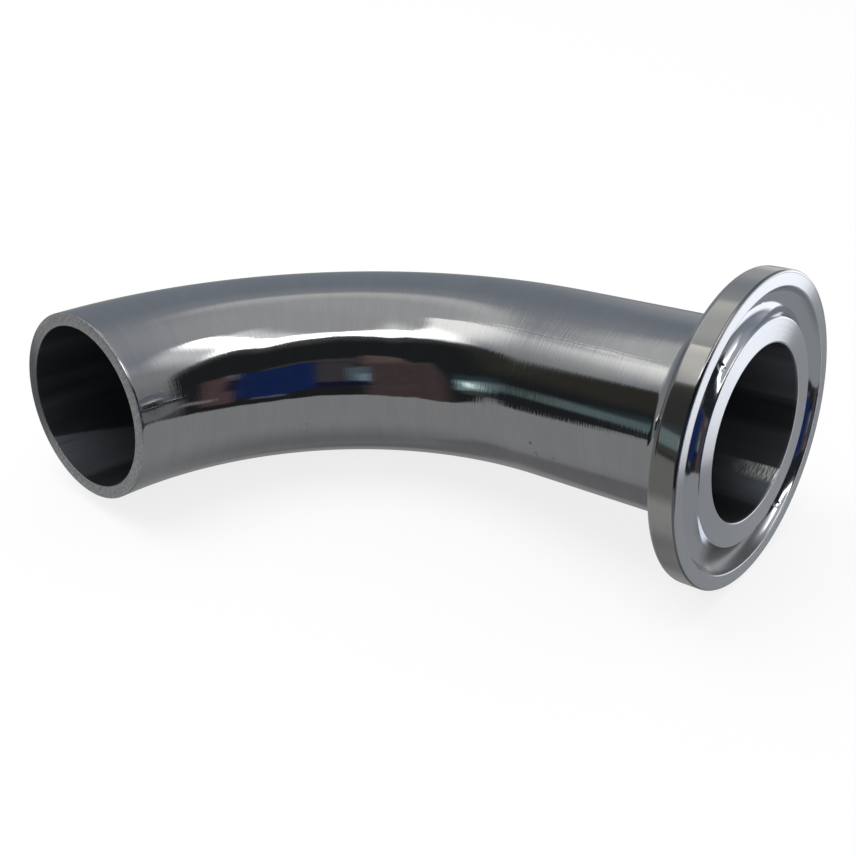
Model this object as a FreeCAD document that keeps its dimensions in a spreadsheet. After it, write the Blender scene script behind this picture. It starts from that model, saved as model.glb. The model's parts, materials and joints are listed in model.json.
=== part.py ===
"""Sanitary clamp elbow: a tube bent through a right angle, with a clamp ferrule butt-welded to one end.

Millimetres. The shapes are drawn about the elbow's centre point, where the axes of its two ports cross: the
clamp port leaves along +X and the plain tube end along -Y, and the bend lies in the XY plane. The elbow is then
laid down as it comes to rest on a flat surface, on the back of the bend and the rim of the clamp flange, with
the origin under the middle of its box and +Z up.
"""
import FreeCAD
import Part
import math
import os

import Sketcher

ORIGIN = FreeCAD.Vector(0, 0, 0)
EAST = FreeCAD.Vector(1, 0, 0)
SOUTH = FreeCAD.Vector(0, -1, 0)
UP = FreeCAD.Vector(0, 0, 1)

# How near an edge's ends must be to a plane to count as lying on it, in mm
ON_PLANE = 1e-4

# The driving dimensions: name, value and what it measures
SIZES = [
    ("tube_diameter", 22.0, "outside diameter of the tube"),
    ("tube_wall", 1.5, "wall of the tube, and of the ferrule's neck"),
    ("bend_radius", 38.0, "radius of the bend, to the tube's axis"),
    ("stub_length", 2.0, "straight left at each end of the bent tube"),
    ("end_break", 0.15, "edges broken at the plain end"),
    ("ferrule_length", 21.5, "length of the ferrule, from the weld to its face"),
    ("rim_diameter", 34.0, "outside diameter of the clamp flange"),
    ("rim_thickness", 2.85, "thickness of the flange at its rim"),
    ("back_slope", 20.0, "slope of the flange's back, which the clamp wedges on, in degrees"),
    ("neck_radius", 2.0, "fillet between the flange's back and the neck"),
    ("rim_front_radius", 0.3, "rounding of the rim at the face"),
    ("rim_back_radius", 0.7, "rounding of the rim at the back"),
    ("outer_land", 1.75, "width of the face between the rim and the gasket groove"),
    ("groove_width", 3.0, "width of the gasket groove at the face"),
    ("groove_depth", 1.3, "depth of the gasket groove"),
    ("groove_lip_radius", 0.2, "rounding of the groove's two edges"),
    ("bore_lip_radius", 0.25, "rounding of the bore's edge at the face"),
]


def make_sheet(doc):
    """The spreadsheet that every sketch and feature reads."""
    sheet = doc.addObject("Spreadsheet::Sheet", "Sizes")
    for row, (alias, value, meaning) in enumerate(SIZES, start=1):
        sheet.set(f"A{row}", alias)
        sheet.set(f"B{row}", str(value))
        sheet.set(f"C{row}", meaning)
        sheet.setAlias(f"B{row}", alias)
    doc.recompute()
    return sheet


def origin_item(body, role):
    """One of a body's own origin planes or axes, such as XY_Plane."""
    return next(item for item in body.Origin.OriginFeatures if item.Role == role)


def new_sketch(body, name, plane):
    """An empty sketch on one of the body's origin planes."""
    sketch = body.newObject("Sketcher::SketchObject", name)
    sketch.AttachmentSupport = [(origin_item(body, plane), "")]
    sketch.MapMode = "FlatFace"
    return sketch


def constrain(sketch, kind, *where, bind=None):
    """Adds one constraint. A dimension starts at the drawn value and is bound to a formula of the sheet's sizes."""
    index = sketch.addConstraint(Sketcher.Constraint(kind, *where))
    if bind:
        sketch.setExpression(f"Constraints[{index}]", bind)
    return index


def bent_tube(doc, sheet):
    """The tube: one sweep of its round section round the bend, with a straight stub at each end."""
    body = doc.addObject("PartDesign::Body", "bent_tube")
    body.Label = "bent_tube"
    bend = sheet.bend_radius
    stub = sheet.stub_length

    path = new_sketch(body, "tube_axis", "XY_Plane")
    centre = FreeCAD.Vector(bend, -bend, 0)
    clamp_stub = path.addGeometry(
        Part.LineSegment(FreeCAD.Vector(bend + stub, 0, 0), FreeCAD.Vector(bend, 0, 0)))
    arc = path.addGeometry(
        Part.ArcOfCircle(Part.Circle(centre, UP, bend), math.pi / 2, math.pi))
    plain_stub = path.addGeometry(
        Part.LineSegment(FreeCAD.Vector(0, -bend, 0), FreeCAD.Vector(0, -bend - stub, 0)))
    constrain(path, "PointOnObject", clamp_stub, 1, -1)
    constrain(path, "PointOnObject", plain_stub, 2, -2)
    constrain(path, "Horizontal", clamp_stub)
    constrain(path, "Vertical", plain_stub)
    constrain(path, "Tangent", clamp_stub, 2, arc, 1)
    constrain(path, "Tangent", arc, 2, plain_stub, 1)
    constrain(path, "Radius", arc, bend, bind="Sizes.bend_radius")
    constrain(path, "DistanceX", clamp_stub, 2, clamp_stub, 1, stub, bind="Sizes.stub_length")
    constrain(path, "DistanceY", plain_stub, 2, plain_stub, 1, stub, bind="Sizes.stub_length")

    section = new_sketch(body, "tube_section", "YZ_Plane")
    section.setExpression("AttachmentOffset.Base.z", "Sizes.bend_radius + Sizes.stub_length")
    outer_radius = sheet.tube_diameter / 2
    outside = section.addGeometry(Part.Circle(ORIGIN, UP, outer_radius))
    inside = section.addGeometry(Part.Circle(ORIGIN, UP, outer_radius - sheet.tube_wall))
    constrain(section, "Coincident", outside, 3, -1, 1)
    constrain(section, "Coincident", inside, 3, -1, 1)
    constrain(section, "Radius", outside, outer_radius, bind="Sizes.tube_diameter / 2")
    constrain(section, "Radius", inside, outer_radius - sheet.tube_wall,
              bind="Sizes.tube_diameter / 2 - Sizes.tube_wall")
    doc.recompute()

    sweep = body.newObject("PartDesign::AdditivePipe", "tube_sweep")
    sweep.Profile = section
    sweep.Spine = (path, ["Edge1", "Edge2", "Edge3"])
    doc.recompute()

    # the plain end's two edges are the ones on its plane, which faces -Y
    end_y = -bend - stub
    end_edges = [f"Edge{index}" for index, edge in enumerate(sweep.Shape.Edges, start=1)
                 if abs(edge.BoundBox.YMin - end_y) < ON_PLANE and abs(edge.BoundBox.YMax - end_y) < ON_PLANE]
    broken = body.newObject("PartDesign::Chamfer", "sawn_end_edges")
    broken.Base = (sweep, end_edges)
    broken.Size = sheet.end_break
    broken.setExpression("Size", "Sizes.end_break")
    doc.recompute()
    return body


def clamp_ferrule(doc, sheet):
    """The ferrule: one turned section, with its gasket groove and rounded edges, revolved about the bore."""
    body = doc.addObject("PartDesign::Body", "clamp_ferrule")
    body.Label = "clamp_ferrule"
    bore = sheet.tube_diameter / 2 - sheet.tube_wall
    neck = sheet.tube_diameter / 2
    rim = sheet.rim_diameter / 2
    weld_x = sheet.bend_radius + sheet.stub_length
    face_x = weld_x + sheet.ferrule_length
    bore_lip = sheet.bore_lip_radius
    front = sheet.rim_front_radius

    # the back slopes away from the rim, and a rounding between it and a level line starts this far from
    # their corner
    slope = math.radians(sheet.back_slope)
    tangent_share = math.tan((math.pi / 2 - slope) / 2)
    rim_corner = FreeCAD.Vector(face_x - sheet.rim_thickness, rim, 0)
    neck_corner = FreeCAD.Vector(rim_corner.x - (rim - neck) * math.tan(slope), neck, 0)
    uphill = FreeCAD.Vector(math.sin(slope), math.cos(slope), 0)
    back_start = sheet.rim_back_radius * tangent_share
    neck_start = sheet.neck_radius * tangent_share

    # the groove's floor is an arc as deep and wide as stated, and each lip is an arc that touches it and
    # the face
    pitch = rim - sheet.outer_land - sheet.groove_width / 2
    depth = sheet.groove_depth
    lip = sheet.groove_lip_radius
    floor = ((sheet.groove_width / 2) ** 2 + depth ** 2) / (2 * depth)
    floor_centre = FreeCAD.Vector(face_x - depth + floor, pitch, 0)
    lip_offset = math.sqrt(depth * (2 * (floor + lip) - depth))
    lip_turn = math.asin(lip_offset / (floor + lip))

    section = new_sketch(body, "ferrule_section", "XY_Plane")

    def line(x1, y1, x2, y2):
        return section.addGeometry(Part.LineSegment(FreeCAD.Vector(x1, y1, 0), FreeCAD.Vector(x2, y2, 0)))

    def arc(x, y, radius, start, end):
        circle = Part.Circle(FreeCAD.Vector(x, y, 0), UP, radius)
        return section.addGeometry(Part.ArcOfCircle(circle, start, end))

    half = math.pi / 2
    bore_line = line(weld_x, bore, face_x - bore_lip, bore)
    bore_round = arc(face_x - bore_lip, bore + bore_lip, bore_lip, -half, 0)
    inner_land = line(face_x, bore + bore_lip, face_x, pitch - lip_offset)
    inner_lip = arc(face_x - lip, pitch - lip_offset, lip, 0, lip_turn)
    groove = arc(floor_centre.x, pitch, floor, math.pi - lip_turn, math.pi + lip_turn)
    outer_lip = arc(face_x - lip, pitch + lip_offset, lip, -lip_turn, 0)
    outer_land = line(face_x, pitch + lip_offset, face_x, rim - front)
    front_round = arc(face_x - front, rim - front, front, 0, half)
    rim_line = line(face_x - front, rim, rim_corner.x + back_start, rim)
    back_round = arc(rim_corner.x + back_start, rim - sheet.rim_back_radius, sheet.rim_back_radius, half,
                     math.pi - slope)
    slope_foot = neck_corner + uphill * neck_start
    slope_top = rim_corner - uphill * back_start
    slope_line = line(slope_foot.x, slope_foot.y, slope_top.x, slope_top.y)
    neck_round = arc(neck_corner.x - neck_start, neck + sheet.neck_radius, sheet.neck_radius, -half, -slope)
    neck_line = line(weld_x, neck, neck_corner.x - neck_start, neck)
    weld_line = line(weld_x, bore, weld_x, neck)

    # which ends of which neighbours meet: 1 is an element's start and 2 its end
    for first, first_end, second, second_end in (
            (bore_line, 2, bore_round, 1), (bore_round, 2, inner_land, 1), (inner_land, 2, inner_lip, 1),
            (inner_lip, 2, groove, 2), (groove, 1, outer_lip, 1), (outer_lip, 2, outer_land, 1),
            (outer_land, 2, front_round, 1), (front_round, 2, rim_line, 1), (rim_line, 2, back_round, 1),
            (back_round, 2, slope_line, 2), (slope_line, 1, neck_round, 2), (neck_round, 1, neck_line, 2)):
        constrain(section, "Tangent", first, first_end, second, second_end)
    constrain(section, "Coincident", weld_line, 1, bore_line, 1)
    constrain(section, "Coincident", weld_line, 2, neck_line, 1)
    for level in (bore_line, rim_line, neck_line):
        constrain(section, "Horizontal", level)
    for upright in (inner_land, outer_land, weld_line):
        constrain(section, "Vertical", upright)

    constrain(section, "DistanceX", -1, 1, bore_line, 1, weld_x, bind="Sizes.bend_radius + Sizes.stub_length")
    for land in (inner_land, outer_land):
        constrain(section, "DistanceX", -1, 1, land, 1, face_x,
                  bind="Sizes.bend_radius + Sizes.stub_length + Sizes.ferrule_length")
    constrain(section, "DistanceY", -1, 1, bore_line, 1, bore, bind="Sizes.tube_diameter / 2 - Sizes.tube_wall")
    constrain(section, "DistanceY", -1, 1, neck_line, 1, neck, bind="Sizes.tube_diameter / 2")
    constrain(section, "DistanceY", -1, 1, rim_line, 1, rim, bind="Sizes.rim_diameter / 2")
    constrain(section, "DistanceY", groove, 3, rim_line, 1, rim - pitch,
              bind="Sizes.outer_land + Sizes.groove_width / 2")
    constrain(section, "DistanceX", inner_land, 1, groove, 3, floor - depth,
              bind="(Sizes.groove_width ^ 2 / 4 + Sizes.groove_depth ^ 2) / (2 * Sizes.groove_depth)"
                   " - Sizes.groove_depth")
    constrain(section, "DistanceX", rim_line, 2, rim_line, 1, sheet.rim_thickness - front - back_start,
              bind="Sizes.rim_thickness - Sizes.rim_front_radius"
                   " - Sizes.rim_back_radius * tan((90 - Sizes.back_slope) / 2 * 1 deg)")
    constrain(section, "Angle", slope_line, half - slope, bind="(90 - Sizes.back_slope) * 1 deg")
    constrain(section, "Radius", groove, floor,
              bind="(Sizes.groove_width ^ 2 / 4 + Sizes.groove_depth ^ 2) / (2 * Sizes.groove_depth)")
    for rounding, radius, bind in (
            (bore_round, bore_lip, "Sizes.bore_lip_radius"), (inner_lip, lip, "Sizes.groove_lip_radius"),
            (outer_lip, lip, "Sizes.groove_lip_radius"), (front_round, front, "Sizes.rim_front_radius"),
            (back_round, sheet.rim_back_radius, "Sizes.rim_back_radius"),
            (neck_round, sheet.neck_radius, "Sizes.neck_radius")):
        constrain(section, "Radius", rounding, radius, bind=bind)
    doc.recompute()

    turned = body.newObject("PartDesign::Revolution", "turned_ferrule")
    turned.Profile = section
    turned.ReferenceAxis = (section, ["H_Axis"])
    full_turn = 360
    turned.Angle = full_turn
    doc.recompute()
    return body


def resting_up(sheet, balance):
    """The upward direction, in the drawing's axes, at which the elbow's balance point lies lowest over a floor.

    What can touch the floor is a round edge or the back of the bend, so each is a circle's lowest point and the
    rounding on it. The search starts with the bend flat and steps downhill to the nearest rest.
    """
    bend = sheet.bend_radius
    tube = sheet.tube_diameter / 2
    rim = sheet.rim_diameter / 2
    face_x = bend + sheet.stub_length + sheet.ferrule_length
    front = sheet.rim_front_radius
    back = sheet.rim_back_radius
    rounds = [
        (EAST * (face_x - front), EAST, rim - front, front),
        (EAST * (face_x - sheet.rim_thickness + back), EAST, rim - back, back),
        (SOUTH * (bend + sheet.stub_length), SOUTH, tube, 0),
    ]
    steps_round_bend = 360
    for step in range(steps_round_bend + 1):
        turn = math.pi / 2 * step / steps_round_bend
        outward = FreeCAD.Vector(-math.sin(turn), math.cos(turn), 0)
        along = FreeCAD.Vector(math.cos(turn), math.sin(turn), 0)
        rounds.append((FreeCAD.Vector(bend, -bend, 0) + outward * bend, along, tube, 0))

    def height(lean):
        up = FreeCAD.Vector(lean[0], lean[1], 1).normalize()
        depth = max(radius * math.sqrt(1 - min(1.0, up.dot(axis) ** 2)) + rounding - up.dot(centre)
                    for centre, axis, radius, rounding in rounds)
        return up.dot(balance) + depth

    directions = 16
    first_step, last_step = 0.1, 1e-6
    no_lower = 1e-12
    lean = (0.0, 0.0)
    step = first_step
    while step > last_step:
        around = [(lean[0] + step * math.cos(turn), lean[1] + step * math.sin(turn))
                  for turn in (math.tau * index / directions for index in range(directions))]
        lowest = min(around, key=height)
        if height(lowest) < height(lean) - no_lower:
            lean = lowest
        else:
            step /= 2
    return FreeCAD.Vector(lean[0], lean[1], 1).normalize()


def lay_down(bodies, sheet):
    """Places every body as the welded elbow rests, with the clamp port towards +X and the origin under the
    middle of its box."""
    volume = sum(body.Shape.Volume for body in bodies)
    balance = FreeCAD.Vector()
    for body in bodies:
        balance += body.Shape.CenterOfGravity * (body.Shape.Volume / volume)
    up = resting_up(sheet, balance)
    forward = (EAST - up * up.dot(EAST)).normalize()
    left = up.cross(forward)
    turned = FreeCAD.Matrix(
        forward.x, forward.y, forward.z, 0,
        left.x, left.y, left.z, 0,
        up.x, up.y, up.z, 0,
        0, 0, 0, 1)
    rotation = FreeCAD.Placement(turned)
    whole = Part.makeCompound([body.Shape for body in bodies])
    whole.Placement = rotation
    box = whole.optimalBoundingBox(False, False)
    shift = FreeCAD.Vector(-(box.XMin + box.XMax) / 2, -(box.YMin + box.YMax) / 2, -box.ZMin)
    for body in bodies:
        body.Placement = FreeCAD.Placement(shift, rotation.Rotation)


def check(doc, bodies):
    """Stops if any object failed to compute or any sub-part isn't one sound solid."""
    for item in doc.Objects:
        bad = [word for word in item.State if word in ("Invalid", "Error")]
        if bad:
            raise RuntimeError(f"{item.Name}: {bad}")
    for body in bodies:
        shape = body.Shape
        if shape.isNull() or not shape.isValid() or len(shape.Solids) != 1:
            raise RuntimeError(f"{body.Label} isn't one valid solid")


def main():
    doc = FreeCAD.newDocument("clamp_elbow")
    sheet = make_sheet(doc)
    bodies = [bent_tube(doc, sheet), clamp_ferrule(doc, sheet)]
    doc.recompute()
    lay_down(bodies, sheet)
    doc.recompute()
    check(doc, bodies)
    os.makedirs("parts", exist_ok=True)
    for body in bodies:
        body.Shape.exportStep(f"parts/{body.Label}.step")
        box = body.Shape.BoundBox
        print(body.Label, "volume", round(body.Shape.Volume, 1), "box", box)


main()
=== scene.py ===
"""Looks of a sanitary clamp elbow: a polished tube bent through a right angle, with a turned clamp ferrule.

Everything is in metres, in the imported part's frame. The two pieces are drawn about the point where the axes
of the two ports cross, with the clamp port along +X, the plain end along -Y and the bend in the XY plane,
and are then laid where the part's mounts say.
"""
import json
import math

import bmesh
import bpy
from bpy.props import FloatProperty, FloatVectorProperty, PointerProperty
from mathutils import Euler, Matrix, Vector
from mathutils.geometry import intersect_line_line


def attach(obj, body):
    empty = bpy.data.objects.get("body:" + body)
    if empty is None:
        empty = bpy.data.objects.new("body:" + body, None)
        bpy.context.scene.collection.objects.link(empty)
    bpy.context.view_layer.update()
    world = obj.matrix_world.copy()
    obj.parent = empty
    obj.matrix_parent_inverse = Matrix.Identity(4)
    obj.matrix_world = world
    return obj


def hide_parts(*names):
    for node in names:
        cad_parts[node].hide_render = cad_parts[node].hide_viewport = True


bl_info = {
    "name": "Clamp elbow looks",
    "version": (1, 0, 0),
    "blender": (4, 5, 0),
    "location": "View3D > Sidebar > Elbow",
    "description": "Builds the polished tube, the turned clamp ferrule and a small photo stage",
    "category": "Object",
}

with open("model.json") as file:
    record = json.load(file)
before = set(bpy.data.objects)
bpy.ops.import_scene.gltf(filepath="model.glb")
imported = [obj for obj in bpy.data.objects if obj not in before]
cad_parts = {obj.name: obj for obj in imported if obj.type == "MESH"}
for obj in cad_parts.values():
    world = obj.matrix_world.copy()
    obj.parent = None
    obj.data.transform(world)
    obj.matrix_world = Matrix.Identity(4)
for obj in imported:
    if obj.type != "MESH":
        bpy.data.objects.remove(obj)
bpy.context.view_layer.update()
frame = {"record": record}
MOUNTS = {mount["name"]: mount for mount in frame["record"]["mounts"]}

# Points along each curve of the turned section, and steps round a full turn and round the bend
ROUND_STEPS = 8
FLOOR_STEPS = 24
TURN_STEPS = 192
BEND_STEPS = 108
# How bright the window is that the steel mirrors, against a white that is 1
WINDOW = 3.0
# A loop this near to where a flat meets a rounding keeps the flat's shading flat
SUPPORT = 0.00004
# A loop this far behind the broken edge of the plain end keeps the tube's shading round up to it
END_SUPPORT = 0.0003
# Points nearer than this are one point, and edges that turn by more than this are sharp
MERGE_DISTANCE = 0.0000001
SHARP_ANGLE = math.radians(32)
# The order of the pieces' materials
TUBE_OUTSIDE, TUBE_BORE, TUBE_SAWN = range(3)
NECK, FACE, BORE, GROOVE, RIM, EDGE = range(6)
# How far a face's normal leans along the tube where the sawn end, the rim's edge or the groove begins
FACES_END, FACES_RIM_EDGE, FACES_BACK = 0.3, 0.1, 0.02
# The rim's own tint, and where the nick in its edge is
RIM_TINT = (0.64, 0.64, 0.62)
RIM_NICK = (0.0853, -0.0148, -0.0083)
# The stage: half the floor's width, the room's radius and the soft lamp
FLOOR_REACH, ROOM_RADIUS = 2.0, 0.8
LAMP_SIZE, LAMP_PLACE = 0.5, Vector((-0.15, -0.1, 0.6))


def drawing_matrix():
    """Where the drawing lies: the ports' axes give its X and -Y, and their crossing gives its origin."""
    clamp, plain = MOUNTS["clamp_bore"], MOUNTS["weld_end"]
    east, south = Vector(clamp["axis"]), Vector(plain["axis"])
    on_east, on_south = Vector(clamp["pos_m"]), Vector(plain["pos_m"])
    near_east, near_south = intersect_line_line(on_east, on_east + east, on_south, on_south + south)
    x = east.normalized()
    z = x.cross(-south).normalized()
    y = z.cross(x)
    turned = Matrix((x, y, z)).transposed().to_4x4()
    return Matrix.Translation((near_east + near_south) / 2) @ turned


DRAWING = drawing_matrix()


class ElbowSizes(bpy.types.PropertyGroup):
    """Sizes of the tube and the ferrule."""
    tube_diameter: FloatProperty(name="Tube diameter", description="Outside diameter of the tube",
                                 default=0.022, unit="LENGTH")
    tube_wall: FloatProperty(name="Tube wall", description="Wall of the tube and of the ferrule's neck",
                             default=0.0015, unit="LENGTH")
    bend_radius: FloatProperty(name="Bend radius", description="Radius of the bend, to the tube's axis",
                               default=0.038, unit="LENGTH")
    stub_length: FloatProperty(name="Stub length", description="Straight left at each end of the bent tube",
                               default=0.002, unit="LENGTH")
    end_break: FloatProperty(name="End break", description="Edges broken at the plain end", default=0.00015,
                             unit="LENGTH")
    ferrule_length: FloatProperty(name="Ferrule length", description="From the weld to the ferrule's face",
                                  default=0.0215, unit="LENGTH")
    rim_diameter: FloatProperty(name="Rim diameter", description="Outside diameter of the clamp flange",
                                default=0.034, unit="LENGTH")
    rim_thickness: FloatProperty(name="Rim thickness", description="Thickness of the flange at its rim",
                                 default=0.00285, unit="LENGTH")
    back_slope: FloatProperty(name="Back slope", description="Slope of the flange's back",
                              default=math.radians(20), subtype="ANGLE")
    neck_radius: FloatProperty(name="Neck radius", description="Fillet between the back and the neck",
                               default=0.002, unit="LENGTH")
    rim_front_radius: FloatProperty(name="Rim front radius", description="Rounding of the rim at the face",
                                    default=0.0003, unit="LENGTH")
    rim_back_radius: FloatProperty(name="Rim back radius", description="Rounding of the rim at the back",
                                   default=0.0007, unit="LENGTH")
    outer_land: FloatProperty(name="Outer land", description="Face between the rim and the gasket groove",
                              default=0.00175, unit="LENGTH")
    groove_width: FloatProperty(name="Groove width", description="Width of the gasket groove at the face",
                                default=0.003, unit="LENGTH")
    groove_depth: FloatProperty(name="Groove depth", description="Depth of the gasket groove",
                                default=0.0013, unit="LENGTH")
    groove_lip: FloatProperty(name="Groove lip radius", description="Rounding of the groove's two edges",
                              default=0.0002, unit="LENGTH")
    bore_lip: FloatProperty(name="Bore lip radius", description="Rounding of the bore's edge at the face",
                            default=0.00025, unit="LENGTH")


class SteelLooks(bpy.types.PropertyGroup):
    """Colours and finish of the stainless steel."""
    steel: FloatVectorProperty(name="Steel", description="Colour of the polished steel", subtype="COLOR",
                               default=(0.62, 0.62, 0.63))
    bore: FloatVectorProperty(name="Bore", description="Colour of the duller steel inside", subtype="COLOR",
                              default=(0.44, 0.49, 0.55))
    sawn: FloatVectorProperty(name="Sawn end", description="Colour of the matt sawn end", subtype="COLOR",
                              default=(0.57, 0.575, 0.585))
    gloss_roughness: FloatProperty(name="Polish roughness", description="Roughness of the polished outside",
                                   default=0.05, min=0, max=1)
    line_depth: FloatProperty(name="Line depth", description="Depth of the polishing lines round the tube",
                              default=0.0000045, unit="LENGTH")
    ripple_depth: FloatProperty(name="Ripple depth", description="Depth of the ripples that bending leaves",
                                default=0.000016, unit="LENGTH")
    turned: FloatVectorProperty(name="Turned face", description="Colour of the freshly turned face",
                                subtype="COLOR", default=(0.77, 0.80, 0.86))
    ring_lean: FloatProperty(name="Ring lean", description="Outward slope of the face's turned rings",
                             default=0.10)
    ring_lift: FloatProperty(name="Ring lift", description="Upward slope of the face's turned rings",
                             default=0.10)


class StageSettings(bpy.types.PropertyGroup):
    """Camera, floor, lamps and the room that the steel mirrors."""
    camera_place: FloatVectorProperty(name="Camera place", description="Where the camera stands",
                                      subtype="TRANSLATION", default=(0.069830, -0.086147, 0.081476))
    camera_turn: FloatVectorProperty(
        name="Camera turn", description="The camera's rotation", subtype="EULER",
        default=(math.radians(55.920), math.radians(-0.095), math.radians(42.040)))
    lens: FloatProperty(name="Lens", description="Focal length for a 36 mm sensor, in millimetres",
                        default=47.364)
    shift: FloatVectorProperty(name="Shift", description="Shift of the lens", size=2,
                               default=(0.0678, 0.0140))
    floor: FloatVectorProperty(name="Floor", description="Colour of the floor", subtype="COLOR",
                               default=(0.93, 0.93, 0.93))
    floor_glow: FloatProperty(name="Floor glow", description="Share of plain white that is seen of the floor",
                              default=0.8, min=0, max=1)
    sky: FloatProperty(name="Sky", description="Strength of the even light from all round", default=0.7)
    lamp: FloatProperty(name="Lamp", description="Power of the soft lamp, in watts", default=2.0)


def section_chain(mesh, start):
    """A chain of edges in the XY plane, and the two functions that draw on from its end: lines and arcs."""
    chain = {"end": mesh.verts.new(start), "first": None}
    chain["first"] = chain["end"]

    def step_to(x, y):
        made = bmesh.ops.extrude_vert_indiv(mesh, verts=[chain["end"]])["verts"][0]
        made.co = (x, y, 0)
        chain["end"] = made

    def line_to(x, y):
        """A straight, with a support point close to each of its ends."""
        begin, finish = chain["end"].co.copy(), Vector((x, y, 0))
        along = (finish - begin).normalized() * SUPPORT
        for point in (begin + along, finish - along, finish):
            step_to(point.x, point.y)

    def arc_about(x, y, angle, steps):
        """An arc about a centre, turning left for a positive angle."""
        made = bmesh.ops.spin(mesh, geom=[chain["end"]], cent=(x, y, 0), axis=(0, 0, 1), angle=angle,
                              steps=steps)
        chain["end"] = next(item for item in made["geom_last"] if isinstance(item, bmesh.types.BMVert))

    return chain, line_to, arc_about


def pushed(mesh, ring, way):
    """Extrudes a ring of edges by a vector, and returns the new ring."""
    made = bmesh.ops.extrude_edge_only(mesh, edges=ring)["geom"]
    verts = {item for item in made if isinstance(item, bmesh.types.BMVert)}
    bmesh.ops.translate(mesh, verts=list(verts), vec=way)
    return [item for item in made if isinstance(item, bmesh.types.BMEdge) and verts.issuperset(item.verts)]


def straightened(point, sizes):
    """A point with the bend unrolled: how far along the tube, how far outward from its axis, and how high."""
    bend = sizes.bend_radius
    from_centre = Vector((point.x - bend, point.y + bend))
    if point.y < -bend and point.x < bend / 2:
        return Vector((sizes.stub_length + point.y + bend, -point.x, point.z))
    if point.x > bend:
        return Vector((sizes.stub_length + bend * math.pi / 2 + point.x - bend, point.y, point.z))
    turn = math.pi - math.atan2(from_centre.y, from_centre.x)
    return Vector((sizes.stub_length + bend * turn, from_centre.length - bend, point.z))


def round_direction(point, sizes):
    """The direction round the tube at a point of the drawing, which polishing and turning marks follow."""
    bend = sizes.bend_radius
    along, outward = Vector((1, 0, 0)), Vector((0, 1, 0))
    if point.x < bend:
        turn = math.atan2(point.y + bend, point.x - bend)
        turn = min(max(turn % math.tau, math.pi / 2), math.pi)
        outward = Vector((math.cos(turn), math.sin(turn), 0))
        along = Vector((math.sin(turn), -math.cos(turn), 0))
    flat = straightened(point, sizes)
    from_axis = outward * flat.y + Vector((0, 0, 1)) * flat.z
    return along.cross(from_axis).normalized()


def finish_piece(mesh, name, sizes, materials, material_of):
    """Turns a drawn mesh into a piece: materials, marks along the surface, shading, place and body."""
    bmesh.ops.remove_doubles(mesh, verts=mesh.verts, dist=MERGE_DISTANCE)
    bmesh.ops.recalc_face_normals(mesh, faces=mesh.faces)
    straight = mesh.verts.layers.float_vector.new("straight")
    around = mesh.verts.layers.float_vector.new("around")
    turned = DRAWING.to_3x3()
    for vert in mesh.verts:
        vert[straight] = straightened(vert.co, sizes)
        vert[around] = turned @ round_direction(vert.co, sizes)
    for face in mesh.faces:
        face.material_index = material_of(face.calc_center_median(), face.normal)
        face.smooth = True
    for edge in mesh.edges:
        edge.smooth = len(edge.link_faces) == 2 and edge.calc_face_angle(0) < SHARP_ANGLE
    mesh.transform(DRAWING)
    data = bpy.data.meshes.new(name)
    mesh.to_mesh(data)
    mesh.free()
    for material in materials:
        data.materials.append(material)
    piece = bpy.data.objects.new(name, data)
    bpy.context.scene.collection.objects.link(piece)
    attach(piece, "root")
    return piece


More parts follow.
